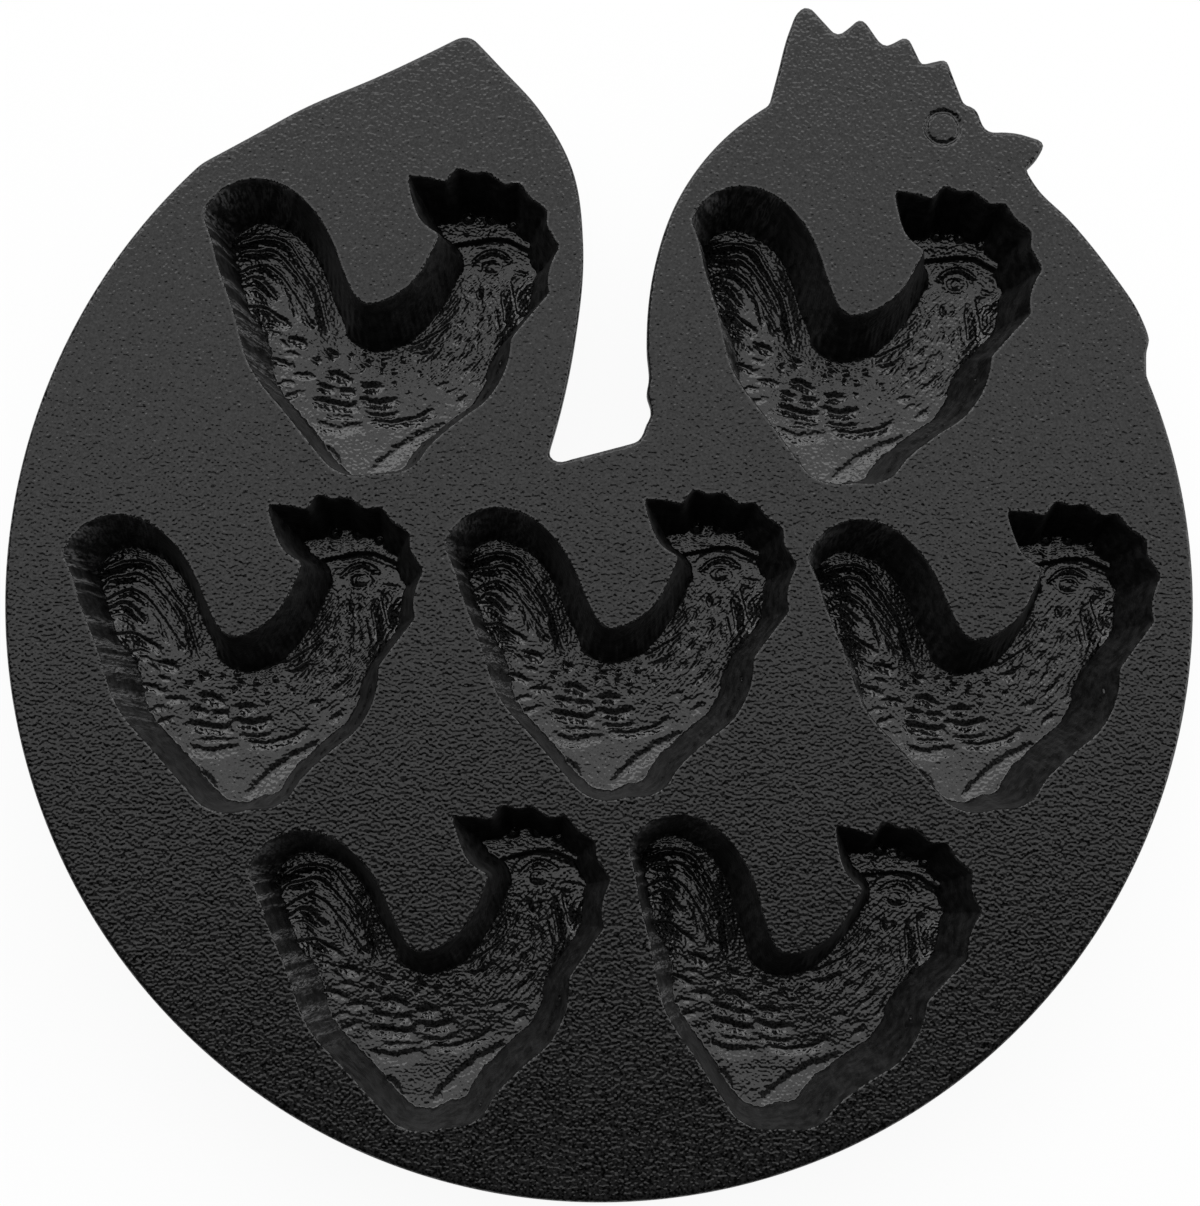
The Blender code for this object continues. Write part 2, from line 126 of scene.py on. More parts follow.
mirrored = either_of(room, rays.outputs["Is Glossy Ray"], rays.outputs["Is Transmission Ray"], "MAXIMUM")
mirrored = either_of(room, mirrored, horizon.outputs["Result"], "MULTIPLY")
strength = room.nodes.new("ShaderNodeMapRange")
strength.inputs["To Min"].default_value = DARK_ROOM
strength.inputs["To Max"].default_value = 1.0
room.links.new(either_of(room, rays.outputs["Is Camera Ray"], mirrored, "MAXIMUM"), strength.inputs["Value"])
room.links.new(strength.outputs["Result"], background.inputs["Strength"])

TABLE = 3.0
PAPER_WHITE = 0.82
TABLE_GLOW = 0.93
table_corners = [(-TABLE, -TABLE, 0), (TABLE, -TABLE, 0), (TABLE, TABLE, 0), (-TABLE, TABLE, 0)]
table_mesh = bpy.data.meshes.new("table")
table_mesh.from_pydata(table_corners, [], [(0, 1, 2, 3)])
table = bpy.data.objects.new("table", table_mesh)
scene.collection.objects.link(table)
paper = bpy.data.materials.new("white_paper")
paper.use_nodes = True
tree = paper.node_tree
shader = tree.nodes["Principled BSDF"]
shader.inputs["Base Color"].default_value = (PAPER_WHITE, PAPER_WHITE, PAPER_WHITE, 1.0)
shader.inputs["Roughness"].default_value = 0.9
glow = tree.nodes.new("ShaderNodeEmission")
seen = tree.nodes.new("ShaderNodeLightPath")
share = tree.nodes.new("ShaderNodeMath")
share.operation = "MULTIPLY"
share.inputs[1].default_value = TABLE_GLOW
mixed = tree.nodes.new("ShaderNodeMixShader")
either = either_of(tree, seen.outputs["Is Glossy Ray"], seen.outputs["Is Transmission Ray"], "MAXIMUM")
tree.links.new(either_of(tree, seen.outputs["Is Camera Ray"], either, "MAXIMUM"), share.inputs[0])
tree.links.new(share.outputs[0], mixed.inputs[0])
tree.links.new(shader.outputs[0], mixed.inputs[1])
tree.links.new(glow.outputs[0], mixed.inputs[2])
tree.links.new(mixed.outputs[0], tree.nodes["Material Output"].inputs["Surface"])
table_mesh.materials.append(paper)

# Iron: sand-cast and seasoned with burnt-in oil, near black with a dull sheen. The sand leaves pebbles about
# a millimetre across and lumps of three, and the oil has dried unevenly between them.
PEBBLE_SCALE, LUMP_SCALE, PATCH_SCALE, OIL_SCALE = 1150.0, 330.0, 40.0, 1500.0
# The second pair of greys, for steep faces, is lighter than the first: painted light for what the walls
# catch.
OILED_GREYS, STEEP_PAINTED_GREYS = (0.0, 0.012), (0.003, 0.016)
# A painted highlight grey for the streaks on the west walls, and below it a painted shade black for the
# feathers' hollows.
RIDGE_HIGHLIGHT_GREY = 0.1
HOLLOW_SHADE_BLACK = 0.004
BLUE_TRACE = 1.01
LEVEL_FACE, STEEP_FACE = 0.75, 0.35
DULL_OIL, GLOSSY_OIL, STEEP_ROUGHNESS = 0.15, 0.11, 0.45


def cast_iron(name, level, pebble_height, lump_height):
    """Black iron with a pebbled skin: round bumps of a millimetre, and broad patches where the oil is duller.
    The level sets how strongly it mirrors. Steep faces are duller, because the oil ran off them, and they are
    painted a lighter grey that stands in for the light the walls catch. On steep faces, where the painted
    light attribute is above 0, painted shade darkens the feathers' grooves, and where it is below 0, a
    painted highlight lightens the streaks."""
    material = bpy.data.materials.new(name)
    material.use_nodes = True
    nodes = material.node_tree.nodes
    link = material.node_tree.links.new
    iron = nodes["Principled BSDF"]
    place = nodes.new("ShaderNodeTexCoord").outputs["Object"]

    def noise(scale, detail, roughness):
        """Cloudy values from 0 to 1 that lie still in the piece."""
        node = nodes.new("ShaderNodeTexNoise")
        node.inputs["Scale"].default_value = scale
        node.inputs["Detail"].default_value = detail
        node.inputs["Roughness"].default_value = roughness
        link(place, node.inputs["Vector"])
        return node.outputs["Fac"]

    def ramp(value, low, high, first, last):
        """A straight run from first at low to last at high, level beyond both."""
        node = nodes.new("ShaderNodeMapRange")
        node.inputs["From Min"].default_value = low
        node.inputs["From Max"].default_value = high
        node.inputs["To Min"].default_value = first
        node.inputs["To Max"].default_value = last
        link(value, node.inputs["Value"])
        return node.outputs["Result"]

    def blend(share, first, last):
        """Two colours mixed by a share. A number stands for a grey with a trace of blue."""
        node = nodes.new("ShaderNodeMix")
        node.data_type = "RGBA"
        for socket, value in ((node.inputs[0], share), (node.inputs[6], first), (node.inputs[7], last)):
            if isinstance(value, float):
                socket.default_value = (value, value, value * BLUE_TRACE, 1.0)
            else:
                link(value, socket)
        return node.outputs[2]

    pebbles = noise(PEBBLE_SCALE, 0.0, 0.5)
    lumps = noise(LUMP_SCALE, 1.0, 0.5)
    patches = noise(PATCH_SCALE, 3.0, 0.55)
    facing = nodes.new("ShaderNodeSeparateXYZ")
    link(nodes.new("ShaderNodeNewGeometry").outputs["Normal"], facing.inputs["Vector"])
    steep = ramp(facing.outputs["Z"], LEVEL_FACE, STEEP_FACE, 0.0, 1.0)
    oiled = blend(ramp(noise(OIL_SCALE, 0.0, 0.5), 0.3, 0.7, 0.0, 1.0), *OILED_GREYS)
    painted_relief_light = nodes.new("ShaderNodeAttribute")
    painted_relief_light.attribute_name = "painted_relief_light"
    # Steep faces: a lighter grey painted for the light the walls catch, varied at random by the lumps.
    steep_painted_light = blend(ramp(lumps, 0.35, 0.65, 0.0, 1.0), *STEEP_PAINTED_GREYS)
    steep_painted_light = blend(ramp(painted_relief_light.outputs["Fac"], 0.0, 1.0, 0.0, 1.0), steep_painted_light, HOLLOW_SHADE_BLACK)
    steep_painted_light = blend(ramp(painted_relief_light.outputs["Fac"], 0.0, -1.0, 0.0, 1.0), steep_painted_light, RIDGE_HIGHLIGHT_GREY)
    link(blend(steep, oiled, steep_painted_light), iron.inputs["Base Color"])
    iron.inputs["Specular IOR Level"].default_value = level
    roughness = nodes.new("ShaderNodeMath")
    roughness.operation = "MAXIMUM"
    link(ramp(patches, 0.3, 0.7, DULL_OIL, GLOSSY_OIL), roughness.inputs[0])
    link(ramp(steep, 0.0, 1.0, 0.0, STEEP_ROUGHNESS), roughness.inputs[1])
    link(roughness.outputs[0], iron.inputs["Roughness"])
    normal = None
    for height, depth in ((lumps, lump_height), (pebbles, pebble_height)):
        bump = nodes.new("ShaderNodeBump")
        bump.inputs["Strength"].default_value = 1.0
        bump.inputs["Distance"].default_value = depth
        link(height, bump.inputs["Height"])
        if normal:
            link(normal, bump.inputs["Normal"])
        normal = bump.outputs["Normal"]
    link(normal, iron.inputs["Normal"])
    return material


deck_iron = cast_iron("cast_iron", level=0.28, pebble_height=0.00021, lump_height=0.00003)
mould_iron = cast_iron("cast_iron_moulds", level=0.40, pebble_height=0.0002, lump_height=0.00025)

# Moulds: seven hollows of one pattern, a rooster seen from its right side, cast in one with the deck. The
# walls have the draft that lets the cakes out, and the floor is carved with comb, face and feathers.
# The outline counts in hundredths of the mould's length, and the strokes on the floor in millimetres.
MOULD_UNIT = 0.9819
MOULD_COMB = (
    (6.9, 41.0), (12.4, 40.7), (17.6, 39.5), (19.1, 42.1), (21.1, 43.9), (24.4, 42.5), (29.0, 43.0),
    (33.8, 39.6), (38.1, 40.4), (41.3, 36.0), (46.1, 33.0), (46.1, 28.5), (50.0, 22.3),
)
MOULD_BEAK = ((50.0, 22.3), (47.6, 16.5), (47.1, 13.0), (47.8, 9.3))
MOULD_WATTLE = ((47.8, 9.3), (42.3, 2.1), (37.6, -4.4))
MOULD_BREAST = (
    (37.6, -4.4), (36.6, -12.8), (32.0, -21.6), (24.0, -28.4), (16.4, -35.8), (12.4, -41.5), (2.7, -43.8),
)
MOULD_FOOT = ((2.7, -43.8), (-8.1, -43.9), (-11.0, -42.3))
MOULD_RUMP = (
    (-11.0, -42.3), (-23.0, -28.7), (-34.2, -15.3), (-39.7, 0.1), (-45.0, 13.7), (-47.4, 21.3), (-50.0, 27.1),
)
MOULD_TAIL = (
    (-50.0, 27.1), (-46.4, 33.3), (-35.6, 38.2), (-26.2, 35.6), (-19.2, 29.8), (-13.6, 21.3), (-9.5, 11.7),
    (-5.4, 4.9), (-3.3, 3.5),
)
MOULD_NECK = ((-3.3, 3.5), (2.1, 4.8), (10.1, 10.9), (14.5, 19.2), (16.7, 24.9))
MOULD_COMB_BACK = ((16.7, 24.9), (11.4, 28.5), (8.4, 35.0), (6.9, 41.0))
MOULD_STROKES = (
    MOULD_BEAK, MOULD_WATTLE, MOULD_BREAST, MOULD_FOOT, MOULD_RUMP, MOULD_TAIL, MOULD_NECK, MOULD_COMB_BACK,
)
# Each mould's place in the belly, turn in degrees and size.
MOULDS = (
    ("top_left", (-62.06, 77.07), -2.6, 1.017),
    ("top_right", (72.54, 73.75), -5.6, 1.003),
    ("middle_left", (-98.16, -16.61), 0.0, 1.010),
    ("centre", (5.74, -14.12), -0.5, 0.988),
    ("middle_right", (106.06, -17.44), -0.3, 0.988),
    ("bottom_left", (-45.69, -102.82), 1.6, 1.003),
    ("bottom_right", (52.56, -103.48), -7.7, 0.992),
)
CELL = 0.28
SHELL_CELL = 0.8


def curve_through(points, step):
    """Points about a step apart on a smooth curve through a stroke: a cubic per span, whose slope at each end
    follows the neighbours. The last point is left out."""
    points = np.array(points, float)
    chord = np.linalg.norm(np.diff(points, axis=0), axis=1)
    along = np.concatenate([[0.0], np.cumsum(chord)])
    slope = np.gradient(points, along, axis=0, edge_order=min(2, len(points) - 1))
    spans = []
    for i, length in enumerate(chord):
        count = max(1, round(length / step))
        u = (np.arange(count) / count)[:, None]
        spans.append((2 * u**3 - 3 * u**2 + 1) * points[i] + (u**3 - 2 * u**2 + u) * length * slope[i]
                     + (3 * u**2 - 2 * u**3) * points[i + 1] + (u**3 - u**2) * length * slope[i + 1])
    return np.concatenate(spans)


def softened_loop(points, spacing, softness):
    """A closed line with points evenly spaced and its corners rounded: the loop's waves are damped by a bell
    of the given width."""
    closed = np.concatenate([points, points[:1]])
    along = np.concatenate([[0.0], np.cumsum(np.linalg.norm(np.diff(closed, axis=0), axis=1))])
    count = int(along[-1] / spacing)
    even = np.arange(count) * along[-1] / count
    line = np.interp(even, along, closed[:, 0]) + 1j * np.interp(even, along, closed[:, 1])
    waves = np.fft.fftfreq(count, along[-1] / count)
    line = np.fft.ifft(np.fft.fft(line) * np.exp(-2.0 * (math.pi * waves * softness) ** 2))
    return np.stack([line.real, line.imag], axis=1)


AT_ONCE = 3000


def spots_on(points, loop):
    """For each point its distance from a closed line, positive inside, and the nearest spot on the line."""
    side = np.roll(loop, -1, axis=0) - loop
    squared = (side**2).sum(axis=1)
    rise = np.where(side[:, 1] == 0, 1.0, side[:, 1])
    distance = np.empty(len(points))
    nearest = np.empty_like(points)
    for first in range(0, len(points), AT_ONCE):
        some = points[first:first + AT_ONCE]
        to_point = some[:, None] - loop
        share = np.clip((to_point * side).sum(axis=2) / squared, 0.0, 1.0)
        gap = to_point - share[..., None] * side
        far = (gap**2).sum(axis=2)
        row = np.arange(len(some))
        best = far.argmin(axis=1)
        nearest[first:first + AT_ONCE] = some - gap[row, best]
        spans = (loop[:, 1] > some[:, None, 1]) != ((loop + side)[:, 1] > some[:, None, 1])
        crossing = loop[:, 0] + to_point[..., 1] * side[:, 0] / rise
        crossings = (spans & (some[:, None, 0] < crossing)).sum(axis=1)
        side_sign = np.where(crossings % 2 == 1, 1.0, -1.0)
        distance[first:first + AT_ONCE] = np.sqrt(far[row, best]) * side_sign
    return distance, nearest


def cells_inside(loop, level, cell, follow=0):
    """A net of square cells that fills a line at a distance inside a loop, or outside where it is negative.

    Corners less than half a cell from that line are moved onto it along the shortest way, so no cell is cut.
    The next lines, a cell apart, are followed in the same way, as many as asked for. A corner that lies on
    the loop itself has no way off it and stays.
    Gives the corners, their distances, the faces, and the border's sides with the net on their left.
    """
    block = 8
    on_loop = 0.02
    low = loop.min(axis=0) + min(level, 0.0) - 2 * cell
    count = np.ceil((loop.max(axis=0) - min(level, 0.0) + 2 * cell - low) / (cell * block)).astype(int)
    middles = [low[k] + cell * block * (np.arange(count[k]) + 0.5) for k in (0, 1)]
    coarse = np.stack(np.meshgrid(*middles), axis=-1)
    rough = spots_on(coarse.reshape(-1, 2), loop)[0].reshape(coarse.shape[:2])
    near = np.repeat(np.repeat(rough > level - cell * block, block, axis=0), block, axis=1)
    shape = near.shape
    x, y = np.meshgrid(low[0] + cell * np.arange(shape[1]), low[1] + cell * np.arange(shape[0]))
    points = np.stack([x, y], axis=-1)[near]
    inside, nearest = spots_on(points, loop)
    on = np.abs(level - inside) <= cell / 2
    way = (points - nearest)[on] / inside[on][:, None]
    points[on] += way * (level - inside[on])[:, None]
    inside[on] = level
    line = np.round((inside - level) / cell)
    beside = ~on & (line > 0) & (line <= follow) & (np.abs(inside) > on_loop)
    way = (points - nearest)[beside] / inside[beside][:, None]
    points[beside] += way * (level + line * cell - inside)[beside][:, None]
    inside[beside] = (level + line * cell)[beside]
    kept = np.flatnonzero(on | (inside > level))
    state = np.zeros(shape, int)
    number = np.full(shape, -1)
    rows, columns = np.nonzero(near)
    state[rows[kept], columns[kept]] = np.where(on[kept], 1, 2)
    number[rows[kept], columns[kept]] = np.arange(len(kept))
    corners = [(0, 0), (0, 1), (1, 1), (1, 0)]
    part = [number[r:shape[0] - 1 + r, c:shape[1] - 1 + c] for r, c in corners]
    kind = [state[r:shape[0] - 1 + r, c:shape[1] - 1 + c] for r, c in corners]
    most = np.maximum.reduce(kind)
    used = sum((k > 0).astype(int) for k in kind)
    whole = (used == 4) & (most == 2)
    quads = np.stack([p[whole] for p in part], axis=1)
    triangles = []
    for left_out in range(4):
        three = [(left_out + step) % 4 for step in (1, 2, 3)]
        cut = (used == 3) & (kind[left_out] == 0) & (most == 2)
        triangles.append(np.stack([part[corner][cut] for corner in three], axis=1))
    triangles = np.concatenate(triangles)
    sides = np.concatenate([quads[:, [i, (i + 1) % 4]] for i in range(4)]
                           + [triangles[:, [i, (i + 1) % 3]] for i in range(3)])
    total = len(kept)
    there = sides[:, 0] * total + sides[:, 1]
    back = sides[:, 1] * total + sides[:, 0]
    border = sides[~np.isin(back, there)]
    return points[kept], inside[kept], quads.tolist() + triangles.tolist(), border


mouth = softened_loop(
    np.concatenate([np.array(MOULD_COMB)[:-1]] + [curve_through(s, 1.0) for s in MOULD_STROKES]) * MOULD_UNIT,
    spacing=0.6, softness=0.7,
)

# Each stroke is the upper edge of a feather. The hollow lies to the right of the stroke. It sinks steeply by
# the first number within the second, and has risen again by the third.
TAIL = (
    (((-49.5, 23.0), (-45.5, 25.0), (-42.5, 27.2), (-39.1, 29.1), (-35.9, 29.7), (-32.1, 29.7),
      (-29.5, 28.9), (-27.6, 27.3), (-25.6, 24.5), (-23.7, 21.9), (-22.4, 19.7), (-20.8, 17.7),
      (-19.2, 15.1), (-18.0, 11.8), (-17.0, 8.6), (-16.0, 5.4), (-15.1, 1.9)), 0.9, 0.9, 3.4),
    (((-27.9, 29.6), (-25.6, 26.6), (-22.8, 22.9)), 0.4, 0.6, 1.6),
    (((-46.6, 21.5), (-46.6, 23.5), (-46.2, 25.5)), 0.8, 0.9, 2.0),
    (((-51.0, 18.2), (-46.8, 18.8), (-44.4, 20.2), (-43.0, 22.5), (-41.5, 24.3), (-39.3, 25.1),
      (-37.2, 25.4), (-35.3, 26.0), (-32.7, 25.9), (-30.8, 24.7), (-28.8, 23.1), (-26.9, 20.8),
      (-25.0, 18.9), (-23.1, 16.0), (-21.8, 13.8), (-20.5, 11.6), (-19.7, 9.2)), 1.0, 1.0, 3.2),
    (((-39.5, 26.9), (-36.5, 27.4), (-33.0, 27.9), (-30.0, 26.8), (-28.5, 25.0)), 0.3, 0.6, 1.5),
    (((-51.5, 14.2), (-46.8, 15.6), (-44.0, 17.2), (-41.0, 18.8), (-39.4, 19.9), (-37.2, 20.9),
      (-35.3, 21.6), (-33.3, 21.1), (-31.4, 19.9), (-29.2, 18.0), (-27.6, 16.0), (-26.0, 13.8),
      (-24.7, 11.9), (-23.4, 10.0), (-21.8, 7.7), (-20.5, 5.6), (-19.2, 4.2)), 1.0, 1.0, 3.2),
    (((-34.0, 23.4), (-30.8, 21.9), (-28.4, 19.4), (-26.3, 16.0), (-24.4, 14.4), (-22.8, 11.9),
      (-21.2, 8.7), (-20.5, 6.7)), 0.5, 0.6, 1.7),
    (((-51.0, 10.4), (-46.5, 12.6), (-43.9, 14.4), (-41.0, 16.5), (-38.0, 18.3), (-35.6, 18.0),
      (-33.6, 16.4), (-31.7, 14.4), (-29.5, 12.4)), 1.2, 2.0, 4.0),
    (((-28.8, 16.3), (-27.1, 14.6), (-26.1, 12.5), (-25.3, 9.7), (-24.5, 7.6), (-23.6, 5.4)),
      0.9, 0.9, 2.4),
    (((-49.5, 8.2), (-44.5, 11.0), (-41.5, 13.0), (-38.0, 14.0), (-35.9, 13.7), (-34.0, 12.3),
      (-32.1, 10.6), (-30.4, 9.1)), 0.5, 0.9, 2.8),
    (((-48.5, 3.8), (-44.0, 6.2), (-41.5, 7.2), (-39.5, 8.2), (-37.2, 8.7), (-35.3, 9.0), (-33.7, 9.0),
      (-32.1, 8.3), (-30.1, 7.0), (-27.9, 5.8), (-25.7, 3.6)), 1.2, 1.2, 3.4),
    (((-46.5, -2.4), (-42.5, -0.6), (-39.5, 0.8), (-36.0, 2.5), (-33.3, 3.9), (-31.1, 3.9), (-29.0, 2.5)),
      0.6, 0.7, 1.8),
    (((-34.3, 1.1), (-32.1, 2.2), (-30.1, 1.7), (-28.0, 0.3)), 0.6, 0.7, 1.9),
    (((-28.0, 0.9), (-25.5, 1.2), (-22.8, 0.4), (-20.6, -1.4)), 1.5, 1.5, 3.6),
    (((-30.0, 0.7), (-27.9, -0.9), (-26.1, -2.9)), 0.6, 0.8, 2.2),
    (((-21.9, 6.6), (-20.5, 5.8), (-18.9, 4.4)), 1.2, 1.1, 2.4),
)
WING = (
    (((-16.3, -1.6), (-14.3, -2.0), (-12.0, -3.1)), 1.2, 1.2, 3.6),
    (((-9.8, -2.8), (-8.8, -2.8), (-7.6, -3.5)), 0.8, 0.9, 2.4),
    (((-5.7, -4.0), (-3.6, -4.4), (-2.0, -5.6)), 1.0, 1.2, 2.4),
    (((-6.9, -6.2), (-5.5, -6.3), (-4.2, -7.6)), 0.9, 1.2, 2.6),
    (((-1.1, -6.6), (0.3, -6.6), (1.4, -7.4)), 0.9, 1.2, 2.6),
    (((-16.6, -8.8), (-14.5, -8.1), (-12.0, -8.2), (-10.0, -9.2), (-7.4, -10.0)), 1.2, 1.3, 3.7),
    (((-43.5, -8.4), (-38.5, -6.8), (-34.5, -6.0), (-31.5, -5.4), (-29.0, -5.6), (-26.8, -6.3),
      (-24.2, -7.7)), 0.7, 1.0, 2.8),
    (((-26.0, -9.5), (-22.0, -9.4), (-18.1, -10.2)), 0.7, 0.8, 2.5),
    (((-40.5, -16.4), (-36.0, -14.6), (-32.5, -13.6), (-28.6, -12.4), (-26.0, -11.8), (-23.3, -12.6)),
      0.45, 0.8, 2.2),
    (((-19.0, -12.1), (-16.5, -12.0), (-12.4, -12.9)), 1.15, 1.3, 3.6),
    (((-12.9, -13.1), (-9.8, -12.8), (-6.3, -14.1)), 1.15, 1.3, 3.5),
    (((-6.7, -11.4), (-4.0, -11.0), (-1.0, -11.1), (1.4, -11.9)), 1.15, 1.4, 3.8),
    (((2.4, -10.6), (3.8, -10.3), (5.1, -11.3)), 0.8, 1.0, 2.4),
    (((-18.8, -15.4), (-15.7, -16.1), (-11.0, -16.8), (-6.3, -16.5)), 1.2, 1.4, 3.9),
    (((-5.4, -14.4), (-2.0, -15.5), (1.6, -15.2), (4.6, -14.4)), 1.2, 1.4, 3.9),
    (((6.2, -14.0), (7.4, -13.1), (8.8, -14.2)), 1.1, 1.6, 3.0),
    (((-4.7, -19.6), (0.0, -19.9), (5.1, -18.9)), 0.7, 1.0, 2.0),
    (((-2.5, -21.6), (1.0, -21.7), (5.2, -21.4), (8.6, -20.6), (12.1, -19.0), (14.8, -17.3)),
      0.9, 0.9, 3.2),
    (((-16.2, -20.5), (-11.0, -20.9), (-6.0, -20.7)), 0.4, 0.9, 1.8),
    (((-18.7, -21.8), (-15.0, -23.0), (-11.5, -23.4), (-7.6, -22.6), (-3.5, -22.2)), 0.6, 1.4, 4.5),
    (((-35.5, -21.0), (-31.0, -18.4), (-27.2, -16.2), (-24.5, -15.2), (-22.2, -14.0)), 0.5, 0.9, 2.4),
    (((-28.6, -3.5), (-25.0, -3.8), (-22.3, -4.7)), 0.45, 0.8, 2.0),
    (((-20.7, -5.5), (-19.4, -4.6), (-17.7, -4.2)), 0.8, 1.2, 2.4),
)
LEGS = (
    (((-16.8, -29.4), (-13.5, -30.2), (-11.0, -32.4), (-9.5, -35.4), (-9.1, -37.7)), 1.0, 1.2, 5.0),
    (((-3.2, -37.7), (-2.1, -35.6), (0.0, -33.0), (4.0, -29.2), (9.0, -25.5), (13.0, -23.4), (18.3, -20.8)),
      1.1, 1.3, 6.0),
)
HEAD = (
    (((22.9, 24.6), (24.8, 27.0), (27.0, 28.6), (29.6, 29.4), (32.2, 29.0), (34.4, 27.5), (36.2, 25.9)),
      1.1, 0.6, 3.0),
    (((20.2, 23.5), (21.8, 26.8), (23.6, 29.5), (26.4, 30.9), (29.6, 31.1), (32.8, 30.4), (36.0, 28.9),
      (38.6, 27.8), (41.5, 26.6), (44.5, 25.3), (48.0, 23.2)), 0.3, 0.9, 4.0),
    (((36.4, 23.3), (39.3, 22.5), (41.6, 22.1)), 0.7, 0.8, 2.2),
    (((38.5, 8.0), (37.0, 11.2), (36.2, 14.4), (35.5, 17.6), (34.9, 20.6)), 1.2, 1.0, 5.5),
    (((33.9, 5.6), (33.1, 11.0), (32.4, 15.3), (32.6, 18.7)), 0.9, 0.9, 3.2),
    (((32.3, 5.2), (31.2, 9.0), (30.5, 13.0)), 0.5, 0.6, 1.2),
    (((27.7, 13.0), (26.0, 14.4), (25.4, 16.0), (26.1, 18.6)), 0.7, 0.7, 2.6),
    (((30.1, 17.4), (29.7, 14.9), (28.4, 13.3)), 0.6, 0.7, 2.0),
    (((20.3, 34.6), (21.8, 33.9), (23.4, 32.4)), 0.4, 0.6, 1.6),
)
HACKLES = (
    (((12.3, 8.1), (15.0, 10.9), (17.0, 13.6), (18.6, 16.2)), 0.9, 0.8, 2.4),
    (((12.3, 5.6), (14.7, 7.2), (16.8, 9.6), (18.7, 12.1), (20.0, 14.6)), 0.9, 0.8, 2.3),
    (((6.3, 0.4), (9.5, 1.4), (12.0, 2.9), (14.7, 4.6), (17.2, 6.6), (18.7, 7.3)), 1.1, 0.9, 3.0),
    (((8.3, -1.5), (11.5, -0.8), (14.3, 0.7), (15.5, 1.7)), 1.4, 1.9, 4.2),
    (((19.1, 1.5), (20.5, 3.5), (22.0, 5.5)), 1.0, 0.8, 2.4),
    (((20.5, 7.2), (22.0, 8.6)), 0.8, 1.0, 2.0),
    (((16.6, -4.9), (18.7, -1.9), (20.0, -0.6)), 1.0, 0.8, 2.4),
    (((20.5, -4.4), (22.0, -1.8), (23.1, 0.4), (24.5, 3.3)), 1.1, 0.8, 2.6),
    (((24.9, 6.2), (25.9, 8.6), (26.1, 11.2)), 0.9, 0.8, 2.2),
    (((28.4, 4.6), (28.7, 7.2), (28.1, 10.2)), 0.7, 0.7, 1.9),
    (((20.7, 10.0), (21.5, 11.8), (21.9, 14.2)), 0.8, 0.7, 2.0),
    (((22.7, 15.3), (23.7, 17.0), (24.8, 18.2)), 0.6, 0.7, 1.8),
    (((16.8, 3.1), (18.4, 4.9)), 0.6, 0.6, 1.6),
    (((25.5, 1.4), (26.4, 4.6)), 0.8, 0.7, 2.0),
    (((16.6, -6.7), (18.9, -4.9)), 0.5, 0.6, 1.6),
    (((21.1, -8.5), (23.0, -6.4), (24.8, -4.7), (27.0, -1.3)), 0.9, 0.9, 2.4),
    (((24.0, -8.8), (26.0, -6.5), (27.7, -3.6)), 0.5, 0.6, 1.6),
    (((25.8, -9.7), (27.8, -8.3), (29.1, -5.3), (29.7, -2.4)), 0.7, 0.7, 2.0),
    (((15.1, -11.4), (17.4, -10.2), (19.1, -9.5)), 1.1, 1.1, 2.8),
    (((17.2, -14.8), (19.5, -12.3), (21.8, -11.1)), 0.6, 0.6, 1.8),
    (((19.6, -14.2), (21.9, -12.1), (23.5, -10.8)), 0.6, 0.6, 1.6),
    (((20.4, -15.8), (22.5, -14.3), (24.4, -12.5)), 1.1, 1.4, 3.0),
    (((5.4, -7.2), (6.4, -6.4), (7.3, -7.0)), 0.9, 1.2, 2.4),
    (((8.2, -6.6), (9.2, -5.9), (10.0, -6.6)), 0.9, 1.0, 2.2),
    (((9.7, -7.4), (11.0, -6.9), (12.1, -7.9)), 0.9, 1.0, 2.2),
    (((13.0, -9.2), (14.0, -8.2), (14.8, -8.6)), 0.9, 1.1, 2.4),
    (((9.4, -11.3), (10.5, -11.0), (11.4, -12.0)), 0.5, 0.8, 2.0),
    (((11.4, -15.6), (12.6, -15.4), (13.6, -16.4)), 0.6, 0.9, 2.0),
)


STROKE_STEP = 0.8
LEAST_REACH = 1.6
FADE_LENGTH, FADE_SHARE, FADE_POWER = 3.0, 2.2, 0.7


